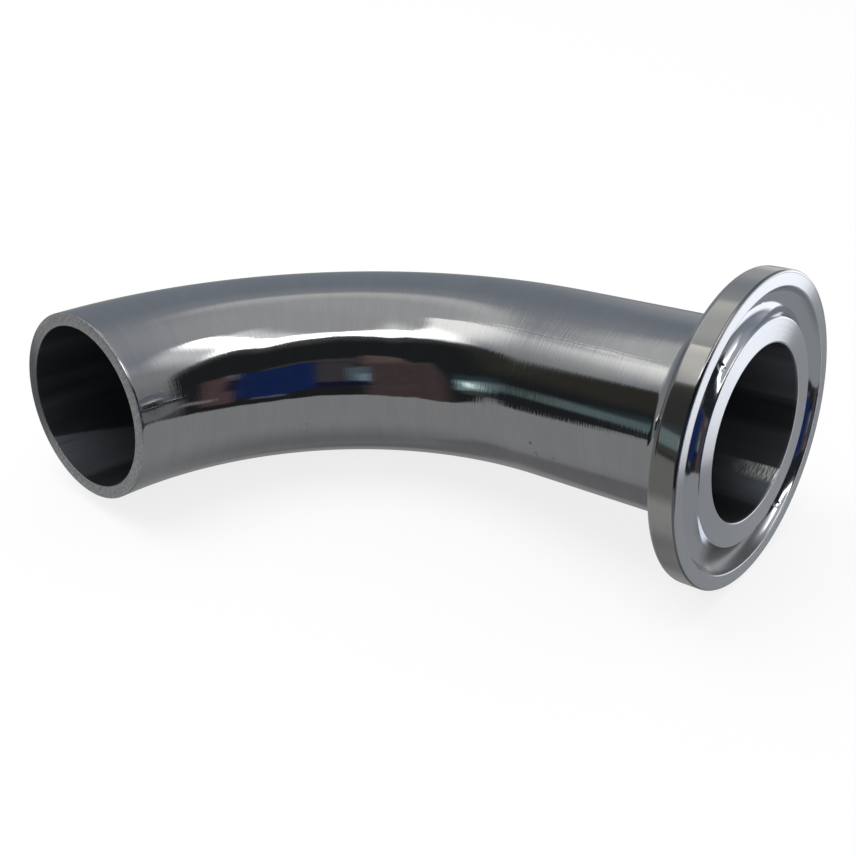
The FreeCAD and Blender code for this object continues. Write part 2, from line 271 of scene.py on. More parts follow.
class MaterialMaker:
    """A new node material, with short calls for the nodes that these finishes use."""

    def __init__(self, name):
        self.material = bpy.data.materials.new(name)
        self.material.use_nodes = True
        self.tree = self.material.node_tree
        self.nodes = self.tree.nodes
        self.surface = self.nodes["Principled BSDF"]
        self.output = self.nodes["Material Output"]

    def link(self, source, socket):
        self.tree.links.new(source, socket)

    def feed(self, socket, value):
        """Links an output to an input, or sets the input to a plain value."""
        if isinstance(value, bpy.types.NodeSocket):
            self.link(value, socket)
        else:
            socket.default_value = value

    def math(self, kind, first, second=0.0):
        node = self.nodes.new("ShaderNodeMath")
        node.operation = kind
        self.feed(node.inputs[0], first)
        self.feed(node.inputs[1], second)
        return node.outputs[0]

    def plus(self, first, second):
        return self.math("ADD", first, second)

    def minus(self, first, second):
        return self.math("SUBTRACT", first, second)

    def times(self, *factors):
        total = factors[0]
        for factor in factors[1:]:
            total = self.math("MULTIPLY", total, factor)
        return total

    def degrees_of(self, rise, run):
        """The angle of a rise over a run, in degrees."""
        return self.times(self.math("ARCTAN2", rise, run), 180 / math.pi)

    def vector(self, kind, first, second=(0, 0, 0), output="Vector"):
        node = self.nodes.new("ShaderNodeVectorMath")
        node.operation = kind
        self.feed(node.inputs[0], first)
        self.feed(node.inputs[1], second)
        return node.outputs[output]

    def stretched(self, vector, scale):
        return self.vector("MULTIPLY", vector, scale)

    def split(self, vector):
        node = self.nodes.new("ShaderNodeSeparateXYZ")
        self.link(vector, node.inputs[0])
        return node.outputs[0], node.outputs[1], node.outputs[2]

    def attribute(self, name):
        node = self.nodes.new("ShaderNodeAttribute")
        node.attribute_name = name
        return node.outputs["Vector"]

    def noise(self, vector, scale=1.0, detail=2.0, roughness=0.5):
        node = self.nodes.new("ShaderNodeTexNoise")
        self.feed(node.inputs["Vector"], vector)
        node.inputs["Scale"].default_value = scale
        node.inputs["Detail"].default_value = detail
        node.inputs["Roughness"].default_value = roughness
        return node.outputs["Fac"]

    def between(self, value, low, high):
        """0 below low and 1 above high, smooth between them; low may be the larger."""
        node = self.nodes.new("ShaderNodeMapRange")
        node.interpolation_type = "SMOOTHSTEP"
        self.feed(node.inputs["Value"], value)
        self.feed(node.inputs["From Min"], low)
        self.feed(node.inputs["From Max"], high)
        return node.outputs["Result"]

    def mix(self, share, first, second):
        """A blend of two colours."""
        node = self.nodes.new("ShaderNodeMix")
        node.data_type = "RGBA"
        self.feed(node.inputs[0], share)
        for socket, value in ((node.inputs[6], first), (node.inputs[7], second)):
            self.feed(socket, value if isinstance(value, bpy.types.NodeSocket) else (*value, 1.0))
        return node.outputs[2]

    def seen_rays(self):
        """1 for camera, glossy and transmission rays, which is what a view or a mirror sees."""
        rays = self.nodes.new("ShaderNodeLightPath")
        both = self.math("MAXIMUM", rays.outputs["Is Camera Ray"], rays.outputs["Is Glossy Ray"])
        return self.math("MAXIMUM", both, rays.outputs["Is Transmission Ray"])

    def relief(self, height):
        """Bends the shader's normal by heights in metres."""
        node = self.nodes.new("ShaderNodeBump")
        node.inputs["Strength"].default_value = 1.0
        node.inputs["Distance"].default_value = 1.0
        self.link(height, node.inputs["Height"])
        self.link(node.outputs["Normal"], self.surface.inputs["Normal"])

    def lined(self, spread):
        """Spreads the light across the marks that run round the tube."""
        self.link(self.attribute("around"), self.surface.inputs["Tangent"])
        self.surface.inputs["Anisotropic"].default_value = spread
        self.surface.inputs["Anisotropic Rotation"].default_value = 0.25


def polished_steel(looks):
    """Mirror-bright steel with fine polishing lines round the tube and slow ripples along the bend."""
    maker = MaterialMaker("polished_steel")
    straight = maker.attribute("straight")
    along, outward, up = maker.split(straight)
    turn = maker.degrees_of(up, outward)
    near_ends = maker.math("MAXIMUM", maker.between(along, 0.034, 0.008),
                           maker.between(along, 0.048, 0.060))
    weld = maker.times(maker.between(along, 0.0530, 0.0580), maker.between(along, 0.0690, 0.0640))
    lines = maker.noise(maker.stretched(straight, (5200, 300, 300)), detail=3.0, roughness=0.7)
    finer = maker.noise(maker.stretched(straight, (9500, 700, 700)), detail=1.0)
    coarse = maker.noise(maker.stretched(straight, (1500, 120, 120)), detail=2.0, roughness=0.6)
    depth = maker.plus(maker.times(near_ends, 0.4), maker.times(weld, 0.7))
    depth = maker.times(maker.plus(depth, 0.5), looks.line_depth)
    ripples = maker.noise(maker.stretched(straight, (95, 70, 70)), detail=1.0)
    waves = maker.noise(maker.stretched(straight, (240, 200, 200)), detail=1.5)
    swell = maker.times(maker.between(along, 0.026, 0.008), looks.ripple_depth * 0.2)
    height = maker.plus(lines, maker.times(coarse, 0.8))
    height = maker.times(maker.plus(height, maker.times(finer, 0.5)), depth)
    height = maker.plus(height, maker.times(ripples, looks.ripple_depth))
    height = maker.plus(height, maker.times(waves, swell))

    # Painted reflection: a thin dark line along the tube, at about 133 degrees round it, stands in for the
    # edge of a reflection and is also pressed in a little. The dents are small dents, pressed in and darker.
    wander = maker.times(maker.noise(maker.stretched(straight, (260, 0, 0)), detail=3.0), 3.0)
    from_line = maker.minus(maker.plus(turn, wander), 133.5)
    painted_line = maker.between(maker.math("ABSOLUTE", from_line), 0.6, 0.1)
    painted_line = maker.times(painted_line, maker.between(along, 0.048, 0.062))
    painted_line = maker.times(painted_line, maker.between(along, 0.0785, 0.0775))
    dents = None
    for place, reach in (((0.0645, -0.0105, -0.0031), 0.00030), ((0.0650, -0.0102, -0.0043), 0.00022),
                         ((0.0651, -0.0101, -0.0046), 0.00018), ((0.0673, -0.0101, -0.0043), 0.00015),
                         ((0.0275, -0.0103, -0.0040), 0.00020), ((0.0264, -0.0103, -0.0039), 0.00012)):
        away = maker.vector("DISTANCE", straight, place, output="Value")
        dent = maker.between(away, reach, reach * 0.4)
        dents = dent if dents is None else maker.math("MAXIMUM", dents, dent)
    painted_line_and_dents = maker.math("MAXIMUM", maker.times(painted_line, 0.35), dents)
    height = maker.minus(height, maker.times(painted_line_and_dents, 0.000006))
    maker.relief(height)

    clouds = maker.noise(maker.stretched(straight, (600, 140, 140)), detail=2.0)
    shades = maker.plus(maker.times(clouds, 0.5), maker.times(lines, 0.5))
    tint = maker.mix(shades, [c * 0.84 for c in looks.steel], [min(1, c * 1.14) for c in looks.steel])
    # The colour darkens along the painted reflection line and in the dents.
    tint = maker.mix(maker.times(painted_line_and_dents, 0.8), tint, [c * 0.35 for c in looks.steel])
    maker.link(tint, maker.surface.inputs["Base Color"])
    rough = maker.plus(maker.times(clouds, 0.05), looks.gloss_roughness - 0.025)
    maker.link(rough, maker.surface.inputs["Roughness"])
    maker.lined(0.6)
    maker.surface.inputs["Metallic"].default_value = 1.0
    return maker.material


def distance_out(maker, outward, up):
    """How far a point is from the tube's axis."""
    return maker.math("SQRT", maker.plus(maker.times(outward, outward), maker.times(up, up)))


def ring_height(maker, scale, depth):
    """Heights of fine turned rings round the clamp port's axis."""
    along, outward, up = maker.split(maker.attribute("straight"))
    combined = maker.nodes.new("ShaderNodeCombineXYZ")
    maker.link(distance_out(maker, outward, up), combined.inputs[0])
    maker.link(along, combined.inputs[1])
    rings = maker.noise(maker.stretched(combined.outputs[0], (*scale, 1)), roughness=0.6)
    return maker.times(rings, depth)


def nick(maker, place, reach, deep):
    """A small dent at a place of the unrolled tube: how deep it is at each point."""
    away = maker.vector("DISTANCE", maker.attribute("straight"), place, output="Value")
    return maker.times(maker.between(away, reach, reach * 0.3), deep)


def turned_finish(maker, height, colour, roughness, spread):
    """Steel with rings round the bore, which spread the light outwards from them."""
    maker.relief(height)
    maker.surface.inputs["Base Color"].default_value = (*colour, 1)
    maker.surface.inputs["Roughness"].default_value = roughness
    maker.lined(spread)
    maker.surface.inputs["Metallic"].default_value = 1.0
    return maker.material


def turned_steel(looks):
    """The turned face: fine rings that lean outwards and upwards a little, and one old scratch."""
    maker = MaterialMaker("turned_steel")
    rings = ring_height(maker, (7000, 3000), 0.000005)
    outward, up = maker.split(maker.attribute("straight"))[1:]
    radius, turn = distance_out(maker, outward, up), maker.degrees_of(up, outward)
    height = maker.minus(rings, maker.times(radius, looks.ring_lean))
    height = maker.minus(height, maker.times(up, looks.ring_lift))
    bowed = maker.times(maker.math("ABSOLUTE", maker.minus(turn, 12.0)), 0.00003)
    off_line = maker.math("ABSOLUTE", maker.minus(maker.plus(radius, bowed), 0.0157))
    scratch = maker.times(maker.between(off_line, 0.00009, 0.00003), maker.between(turn, -4, 2))
    scratch = maker.times(scratch, maker.between(turn, 23, 21))
    height = maker.minus(height, maker.times(scratch, 0.00003))
    return turned_finish(maker, height, looks.turned, 0.20, 0.8)


def rim_steel():
    """The turned rim, a little duller than the tube, with a band of painted shade over most of its upper
    half.
    """
    maker = MaterialMaker("rim_steel")
    rings = ring_height(maker, (1500, 2500), 0.0000003)
    along, up = maker.split(maker.attribute("straight"))[::2]
    notch = nick(maker, RIM_NICK, 0.0005, 0.00006)
    lean = maker.times(maker.minus(along, 0.0838), maker.between(up, 0.001, 0.008))
    droop = maker.times(maker.math("MINIMUM", up, 0.006), 0.075)
    height = maker.minus(maker.minus(rings, notch), maker.times(lean, 0.07))
    height = maker.plus(height, droop)
    material = turned_finish(maker, height, RIM_TINT, 0.075, 0.3)
    # Painted shade: a band of the rim, from just below its middle height to near its top, is darker.
    rim_painted_shade = maker.times(maker.between(up, -0.0024, -0.0006), maker.between(up, 0.0135, 0.0115))
    maker.link(maker.mix(rim_painted_shade, RIM_TINT, (0.35, 0.345, 0.335)), maker.surface.inputs["Base Color"])
    maker.surface.inputs["Metallic"].default_value = 0.95
    return material


def edge_steel(looks):
    """The rounded edge between the rim and the face, which is bright but has a darker skin."""
    maker = MaterialMaker("edge_steel")
    rings = ring_height(maker, (5000, 5000), 0.000002)
    notch = nick(maker, RIM_NICK, 0.0005, 0.00006)
    return turned_finish(maker, maker.minus(rings, notch), [c * 0.5 for c in looks.steel], 0.12, 0.5)


def groove_steel(looks):
    """The groove and the turned rings in it, darker underneath than at the top from painted shade, and
    rougher there.
    """
    maker = MaterialMaker("groove_steel")
    outward, up = maker.split(maker.attribute("straight"))[1:]
    rings = ring_height(maker, (4000, 4000), 0.0000025)
    nicks = nick(maker, (0.0843, 0.0005, 0.0137), 0.0006, 0.00003)
    for place in ((0.0845, -0.0083, 0.0095), (0.0846, 0.0092, -0.0118)):
        nicks = maker.math("MAXIMUM", nicks, nick(maker, place, 0.0005, 0.00006))
    material = turned_finish(maker, maker.minus(rings, nicks), looks.steel, 0.2, 0.3)
    # Underneath the groove there is a rougher finish, and painted shade that darkens the colour.
    groove_dull_and_shaded = maker.times(maker.between(up, -0.003, -0.008), maker.between(outward, 0.008, 0.003))
    groove_dull_and_shaded = maker.times(groove_dull_and_shaded, maker.between(outward, -0.0085, -0.005))
    maker.link(maker.plus(0.10, maker.times(groove_dull_and_shaded, 0.25)), maker.surface.inputs["Roughness"])
    tint = maker.mix(groove_dull_and_shaded, [c * 0.93 for c in looks.turned], [c * 0.42 for c in looks.steel])
    maker.link(tint, maker.surface.inputs["Base Color"])
    return material


def bore_steel(looks):
    """The duller inside, kept nearly black by painted shade, with faint streaks along the tube, painted light
    in paler stretches along its underside at each end and along its upper side near the clamp, and a bright
    painted reflection near the clamp face.
    """
    maker = MaterialMaker("bore_steel")
    straight = maker.attribute("straight")
    along, outward, up = maker.split(straight)
    turn = maker.degrees_of(up, outward)
    streaks = maker.noise(maker.stretched(straight, (60, 1800, 1800)), detail=3.0, roughness=0.6)
    soft = maker.noise(maker.stretched(straight, (25, 260, 260)), detail=1.0)
    ragged = maker.noise(maker.stretched(straight, (8500, 900, 900)), detail=2.0)
    shift = maker.times(maker.minus(streaks, 0.5), 5.0)
    turn = maker.plus(turn, shift)

    def stretch(low, high, soft_low, soft_high):
        """1 between two angles round the bore, in degrees from the bend's outside towards the top."""
        return maker.times(maker.between(turn, low - soft_low, low + soft_low),
                          maker.between(turn, high + soft_high, high - soft_high))

    # Painted light: paler stretches along the underside at each end and along the upper side near the clamp,
    # and a bright ragged painted reflection of a window near the clamp face.
    slanted = maker.plus(turn, maker.times(along, 1300))
    at_plain = maker.times(maker.between(slanted, -35.0, -37.5), maker.between(turn, -84, -44),
                           maker.between(along, 0.016, 0.001))
    at_clamp = maker.times(stretch(-68, -43, 14, 1.0), maker.between(along, 0.0765, 0.0850))
    bright = maker.times(stretch(-52, -43, 4, 1.0), maker.between(along, 0.0795, 0.0845))
    bright = maker.times(bright, maker.between(ragged, 0.38, 0.6))
    upper = maker.times(stretch(4, 58, 3, 14), maker.between(along, 0.072, 0.085))
    # Painted shade keeps the inside nearly black, with faint random streaks. The painted light above is mixed
    # in over it.
    tint = maker.mix(streaks, [c * 0.03 for c in looks.bore], [c * 0.09 for c in looks.bore])
    tint = maker.mix(maker.times(maker.between(soft, 0.45, 0.75), 0.5), tint, [c * 0.25 for c in looks.bore])
    tint = maker.mix(maker.times(upper, 0.18), tint, [c * 0.6 for c in looks.bore])
    tint = maker.mix(maker.times(at_plain, maker.between(streaks, 0.1, 0.5)), tint,
                     [c * 0.27 for c in looks.bore])
    tint = maker.mix(at_clamp, tint, [c * 0.42 for c in looks.bore])
    tint = maker.mix(bright, tint, (1.0, 1.0, 0.97))
    maker.link(tint, maker.surface.inputs["Base Color"])
    maker.relief(maker.times(streaks, 0.000004))
    maker.surface.inputs["Roughness"].default_value = 0.34
    maker.surface.inputs["Metallic"].default_value = 0.4
    return maker.material


def sawn_steel(looks):
    """The matt sawn end, with saw marks straight across it and painted shade on its side towards the bend's
    outside.
    """
    maker = MaterialMaker("sawn_steel")
    straight = maker.attribute("straight")
    outward, up = maker.split(straight)[1:]
    cut = maker.plus(maker.times(outward, 0.6), maker.times(up, 0.8))
    combined = maker.nodes.new("ShaderNodeCombineXYZ")
    maker.link(maker.times(cut, 7000), combined.inputs[0])
    maker.link(maker.times(outward, 400), combined.inputs[1])
    marks = maker.noise(combined.outputs[0], detail=3.0, roughness=0.6)
    specks = maker.noise(maker.stretched(straight, (2600, 2600, 2600)), detail=3.0, roughness=0.7)
    maker.relief(maker.plus(maker.times(marks, 0.00001), maker.times(specks, 0.000025)))
    shades = maker.between(maker.plus(marks, specks), 0.75, 1.25)
    tint = maker.mix(shades, [c * 0.8 for c in looks.sawn], [min(1, c * 1.25) for c in looks.sawn])
    # Painted shade: the sawn end is darker towards the bend's outside.
    tint = maker.mix(maker.between(outward, 0.0065, 0.0105), tint, [c * 0.42 for c in looks.sawn])
    maker.link(tint, maker.surface.inputs["Base Color"])
    maker.surface.inputs["Roughness"].default_value = 0.42
    maker.surface.inputs["Metallic"].default_value = 0.9
    return maker.material


class ELBOW_OT_bent_tube(bpy.types.Operator):
    """Sweeps the tube round its bend, with its wall, its sawn end and broken edges"""
    bl_idname = "elbow.bent_tube"
    bl_label = "Bent tube"

    def execute(self, context):
        sizes, looks = context.scene.elbow_sizes, context.scene.elbow_looks
        outer = sizes.tube_diameter / 2
        inner = outer - sizes.tube_wall
        middle = (outer + inner) / 2
        bend, stub = sizes.bend_radius, sizes.stub_length

        def from_axis(point):
            return math.hypot(*straightened(point, sizes)[1:])

        mesh = bmesh.new()
        end_rings = []
        for radius in (outer, inner):
            upright = Matrix.Translation((0, -bend - stub, 0)) @ Matrix.Rotation(math.pi / 2, 4, "X")
            ring = bmesh.ops.create_circle(mesh, segments=TURN_STEPS, radius=radius, matrix=upright)
            first = list({edge for vert in ring["verts"] for edge in vert.link_edges})
            short = sizes.end_break + END_SUPPORT
            behind_edge = pushed(mesh, first, (0, short, 0))
            before_bend = pushed(mesh, behind_edge, (0, stub - short, 0))
            after_bend = bmesh.ops.spin(mesh, geom=before_bend, cent=(bend, -bend, 0), axis=(0, 0, -1),
                                        angle=math.pi / 2, steps=BEND_STEPS)["geom_last"]
            after_bend = [item for item in after_bend if isinstance(item, bmesh.types.BMEdge)]
            last = pushed(mesh, after_bend, (stub, 0, 0))
            end_rings.append((first, last))
        bore_wall = [face for face in mesh.faces if from_axis(face.calc_center_median()) < middle]
        bmesh.ops.reverse_faces(mesh, faces=bore_wall)
        for outside, inside in zip(*end_rings):
            bmesh.ops.bridge_loops(mesh, edges=outside + inside)
        sawn = [edge for ring in end_rings for edge in ring[0]]
        bmesh.ops.bevel(mesh, geom=sawn, offset=sizes.end_break, offset_type="OFFSET", segments=3,
                        profile=0.5, affect="EDGES", material=-1)

        end_y = -bend - stub + sizes.end_break / 2

        def material_of(centre, normal):
            if centre.y < end_y and centre.x < bend / 2 and abs(normal.y) > FACES_END:
                return TUBE_SAWN
            return TUBE_OUTSIDE if from_axis(centre) > middle else TUBE_BORE

        materials = [polished_steel(looks), bore_steel(looks), sawn_steel(looks)]
        piece = finish_piece(mesh, "tube", sizes, materials, material_of)
        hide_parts("bent_tube")
        return {"FINISHED"}


class ELBOW_OT_clamp_ferrule(bpy.types.Operator):
    """Turns the ferrule: neck, sloping back, rounded rim, gasket groove and bore"""
    bl_idname = "elbow.clamp_ferrule"
    bl_label = "Clamp ferrule"

    def execute(self, context):
        sizes, looks = context.scene.elbow_sizes, context.scene.elbow_looks
        neck = sizes.tube_diameter / 2
        bore = neck - sizes.tube_wall
        rim = sizes.rim_diameter / 2
        weld_x = sizes.bend_radius + sizes.stub_length
        face_x = weld_x + sizes.ferrule_length
        front, back, fillet = sizes.rim_front_radius, sizes.rim_back_radius, sizes.neck_radius
        lip, bore_lip = sizes.groove_lip, sizes.bore_lip
        slope = sizes.back_slope
        tangent_share = math.tan((math.pi / 2 - slope) / 2)
        back_x = face_x - sizes.rim_thickness
        neck_x = back_x - (rim - neck) * math.tan(slope)
        pitch = rim - sizes.outer_land - sizes.groove_width / 2
        depth = sizes.groove_depth
        floor = ((sizes.groove_width / 2) ** 2 + depth ** 2) / (2 * depth)
        lip_offset = math.sqrt(depth * (2 * (floor + lip) - depth))
        lip_turn = math.asin(lip_offset / (floor + lip))

        mesh = bmesh.new()
        chain, line_to, arc_about = section_chain(mesh, (weld_x, bore, 0))
        line_to(face_x - bore_lip, bore)
        arc_about(face_x - bore_lip, bore + bore_lip, math.pi / 2, ROUND_STEPS)
        line_to(face_x, pitch - lip_offset)
        arc_about(face_x - lip, pitch - lip_offset, lip_turn, ROUND_STEPS)
        arc_about(face_x - depth + floor, pitch, -2 * lip_turn, FLOOR_STEPS)
        arc_about(face_x - lip, pitch + lip_offset, lip_turn, ROUND_STEPS)
        line_to(face_x, rim - front)
        arc_about(face_x - front, rim - front, math.pi / 2, ROUND_STEPS)
        line_to(back_x + back * tangent_share, rim)
        arc_about(back_x + back * tangent_share, rim - back, math.pi / 2 - slope, ROUND_STEPS)
        foot = fillet * tangent_share
        line_to(neck_x + foot * math.sin(slope), neck + foot * math.cos(slope))
        arc_about(neck_x - foot, neck + fillet, slope - math.pi / 2, ROUND_STEPS)
        line_to(weld_x, neck)
        mesh.edges.new((chain["end"], chain["first"]))
        bmesh.ops.spin(mesh, geom=list(mesh.verts) + list(mesh.edges), cent=(0, 0, 0), axis=(1, 0, 0),
                       angle=math.tau, steps=TURN_STEPS, use_merge=True)

        def material_of(centre, normal):
            radius = math.hypot(centre.y, centre.z)
            if radius < bore + bore_lip * 0.4:
                return BORE
            if normal.x > FACES_RIM_EDGE and radius > rim - front:
                return EDGE if centre.x < face_x - SUPPORT else FACE
            if radius > rim - back * 0.9:
                return RIM
            if centre.x < face_x - depth * 1.01 or normal.x < FACES_BACK:
                return NECK
            return FACE if centre.x > face_x - SUPPORT else GROOVE

        materials = [polished_steel(looks), turned_steel(looks), bore_steel(looks), groove_steel(looks),
                     rim_steel(), edge_steel(looks)]
        piece = finish_piece(mesh, "ferrule", sizes, materials, material_of)
        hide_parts("clamp_ferrule")
        return {"FINISHED"}


def room_material():
    """What the steel mirrors: a grey table, a dim room with a few coloured things, and a long window."""
    maker = MaterialMaker("room")
    maker.nodes.remove(maker.surface)
    place = maker.nodes.new("ShaderNodeTexCoord").outputs["Object"]
    way = maker.vector("NORMALIZE", place)
    x, y, z = maker.split(way)
    level = maker.times(maker.math("ARCSINE", z), 180 / math.pi)
    heading = maker.degrees_of(y, x)
    slow = maker.times(maker.minus(maker.noise(way, scale=7.0, detail=4.0), 0.5), 4.0)
    quick = maker.times(maker.minus(maker.noise(way, scale=26.0, detail=3.0), 0.5), 3.0)
    wobble = maker.plus(slow, quick)
    height = maker.plus(level, wobble)
    bearing = maker.minus(heading, maker.times(wobble, 0.7))

    def outline(corners):
        """A height for each bearing, drawn through a few corners."""
        node = maker.nodes.new("ShaderNodeFloatCurve")
        curve = node.mapping.curves[0]
        node.mapping.use_clip = True
        shares = [((place + 180) / 360, (rise + 90) / 180) for place, rise in corners]
        curve.points[0].location, curve.points[1].location = shares[0], shares[-1]
        for share in shares[1:-1]:
            curve.points.new(*share)
        node.mapping.update()
        maker.link(maker.times(maker.plus(bearing, 180), 1 / 360), node.inputs["Value"])
        return maker.minus(maker.times(node.outputs[0], 180), 90)

    def under(edge, soft):
        """1 below an outline, 0 above it."""
        return maker.between(maker.minus(height, edge), soft, -soft)

    def patch(west, east, low, high, soft):
        """1 inside a stretch of bearings and heights, in degrees, with soft edges."""
        across = maker.times(maker.between(bearing, west - soft, west + soft),
                             maker.between(bearing, east + soft, east - soft))
        return maker.times(across, maker.between(height, low - soft, low + soft),
                           maker.between(height, high + soft, high - soft))

    colour = maker.mix(maker.between(level, 34, 74), (0.215, 0.24, 0.275), (0.41, 0.415, 0.42))
    haze_top = outline(((-160, 60), (-146, 76), (-110, 76), (-85, 71), (-60, 69), (-30, 72), (0, 76),
                        (24, 76), (36, 60)))
    haze = maker.times(maker.between(maker.minus(height, haze_top), 0, -9), maker.between(height, 50, 58),
                       maker.between(bearing, -158, -150), maker.between(bearing, 36, 26))
    colour = maker.mix(haze, colour, (0.88, 0.89, 0.88))
    far_haze = maker.mix(maker.between(level, 56, 66), (0.56, 0.57, 0.56), (0.43, 0.44, 0.44))
    far_side = maker.math("MAXIMUM", maker.between(bearing, 112, 132), maker.between(bearing, 0, -2))
    far_part = maker.times(maker.between(x, -0.04, -0.2), maker.between(height, 50.5, 56), far_side)
    colour = maker.mix(far_part, colour, far_haze)
    side_wall = maker.mix(maker.between(height, -8, 34), (0.070, 0.071, 0.076), (0.27, 0.28, 0.285))
    side_wall = maker.mix(maker.between(height, 34, 50), side_wall, (0.72, 0.73, 0.73))
    side_part = maker.times(maker.between(bearing, 6, 14), maker.between(bearing, 56, 40),
                            maker.between(height, 64, 52))
    colour = maker.mix(side_part, colour, side_wall)
    left_wall = maker.mix(maker.between(height, 32, 50), (0.25, 0.26, 0.26), (0.54, 0.55, 0.55))
    left_part = maker.times(maker.between(bearing, -186, -150), maker.between(bearing, -128, -136),
                            maker.between(height, 70, 58))
    colour = maker.mix(left_part, colour, left_wall)
    colour = maker.mix(patch(66, 118, -22, 30, 10), colour, (0.38, 0.39, 0.41))
    bright_west = maker.plus(42, maker.times(maker.between(height, 3, -3), -8))
    card = maker.times(maker.between(maker.minus(bearing, bright_west), -2, 3),
                       maker.between(bearing, 112, 98), maker.between(height, 14, 3))
    colour = maker.mix(card, colour, (1.25, 1.25, 1.27))

    window_top = outline(((-166, 50), (-155, 65), (-148, 68.5), (-132, 66.5), (-112, 63), (-92, 65.5),
                          (-60, 67.2), (-32, 66.5), (-10, 63), (8, 65), (32, 66.5), (40, 65.5), (44, 63.5),
                          (47, 59), (52, 48)))
    west_part = maker.between(bearing, -102, -132)
    fading = maker.math("MAXIMUM", maker.times(west_part, maker.between(level, 58, 43)),
                        maker.times(maker.between(bearing, 6, 22), maker.between(level, 62, 52)))
    window = maker.times(under(window_top, 0.8), maker.between(level, 42, 47),
                         maker.between(bearing, -164, -154), maker.between(bearing, 51, 42),
                         maker.minus(1.0, fading))
    daylight = maker.mix(west_part, (WINDOW, WINDOW, 0.98 * WINDOW), (1.22, 1.22, 1.18))
    colour = maker.mix(window, colour, daylight)
    shade_top = outline(((-146, 25), (-134, 33.5), (-128, 39), (-120, 45.5), (-110, 52), (-101, 55),
                         (-95, 57), (-82, 57), (-74, 59.6), (-58, 62.5), (-42, 61), (-26, 58.5), (-12, 53.4),
                         (1, 53.6), (11, 48.5), (20, 40), (26, 33), (30, 20)))
    side_edge = maker.plus(17.5, maker.times(maker.between(height, -2, 34), 10))
    soft_edge = maker.plus(0.6, maker.times(maker.between(bearing, -88, -112), 2.6))
    below = maker.between(maker.minus(height, shade_top), soft_edge, maker.times(soft_edge, -1))
    shade = maker.times(below, maker.between(bearing, -143, -129),
                        maker.between(maker.minus(bearing, side_edge), 1.0, -1.0))
    streaky = maker.noise(maker.stretched(way, (30, 30, 4)), detail=2.0)
    lighter = maker.times(maker.between(maker.minus(height, shade_top), -9, -1), streaky)
    colour = maker.mix(shade, colour, maker.mix(lighter, (0.016, 0.018, 0.020), (0.13, 0.135, 0.13)))
    olive = maker.times(maker.between(bearing, -108, -124), maker.between(height, 12, 24))
    colour = maker.mix(maker.times(shade, olive), colour, (0.034, 0.033, 0.027))
    colour = maker.mix(patch(-169, -160, 53.0, 54.8, 0.8), colour, (1.1, 1.1, 1.1))

    brown_top = outline(((-100, -20), (-95, 8), (-92, 26), (-82, 27.5), (-80, 32), (-70, 35), (-62, 36),
                         (-54, 32), (-46, 12), (-40, 6)))
    grain = maker.noise(maker.stretched(way, (9, 9, 14)), detail=4.0, roughness=0.6)
    brown = maker.mix(grain, (0.040, 0.030, 0.031), (0.088, 0.066, 0.064))
    brown = maker.mix(maker.between(height, 24, 31), brown, (0.115, 0.086, 0.078))
    brown_part = maker.times(under(brown_top, 1.0), maker.between(bearing, -100, -90),
                             maker.between(bearing, -56, -64))
    colour = maker.mix(brown_part, colour, brown)
    arch_top = outline(((-62, 34), (-52, 34.5), (-40, 34), (-30, 32), (-20, 28), (-10, 24)))
    arch = maker.times(under(arch_top, 0.8), maker.between(maker.minus(height, arch_top), -5, -3.5),
                       maker.between(bearing, -66, -60), maker.between(bearing, -12, -20))
    colour = maker.mix(arch, colour, (0.052, 0.050, 0.056))
    for reach, tint in (((-57, -39, 5, 30, 2.5), (0.050, 0.046, 0.052)),
                        ((-63, -53, 3, 23, 1.5), (0.085, 0.115, 0.135)),
                        ((-62, -57, 4, 14, 2), (0.17, 0.25, 0.28))):
        colour = maker.mix(patch(*reach), colour, tint)
    blue_top = outline(((-44, 30), (-38, 31), (-28, 29.5), (-20, 26), (-12, 24.5), (-5, 22), (0, 14)))
    blue_foot = outline(((-44, 0), (-36, -2), (-28, -5), (-10, -5), (-6, -3), (0, 8)))
    blue = maker.times(under(blue_top, 0.8), maker.between(maker.minus(height, blue_foot), -0.8, 0.8),
                       maker.between(bearing, -41, -39), maker.between(bearing, -3, -7))
    navy = maker.times(maker.between(height, -1, 1), maker.between(height, 6.5, 4.5),
                       maker.between(bearing, -66, -60), maker.between(bearing, -36, -42))
    colour = maker.mix(navy, colour, (0.010, 0.012, 0.034))
    colour = maker.mix(blue, colour, maker.mix(grain, (0.007, 0.016, 0.062), (0.014, 0.028, 0.105)))
    for reach, tint in (((-27, -13, -8.5, -6.5, 0.7), (0.10, 0.105, 0.15)),
                        ((-6, 0, 18, 24, 1.2), (0.12, 0.13, 0.17)),
                        ((-5, 9, -9, 21, 1.5), (0.095, 0.058, 0.062)),
                        ((-6, -1, 5, 17, 1.0), (0.014, 0.016, 0.030)),
                        ((3, 18, -4, -1, 0.7), (0.19, 0.19, 0.18)),
                        ((-118, -98, 0, 14, 2.5), (0.030, 0.050, 0.060)),
                        ((-123, -114, 0, 8, 2.0), (0.11, 0.15, 0.15)),
                        ((-113, -99, -2, 8.5, 1.5), (0.22, 0.32, 0.33)),
                        ((-113, -101, -7, -2, 1.5), (0.055, 0.062, 0.050)),
                        ((-107, -103, 1, 6.5, 1.2), (1.2, 1.4, 1.35))):
        colour = maker.mix(patch(*reach), colour, tint)

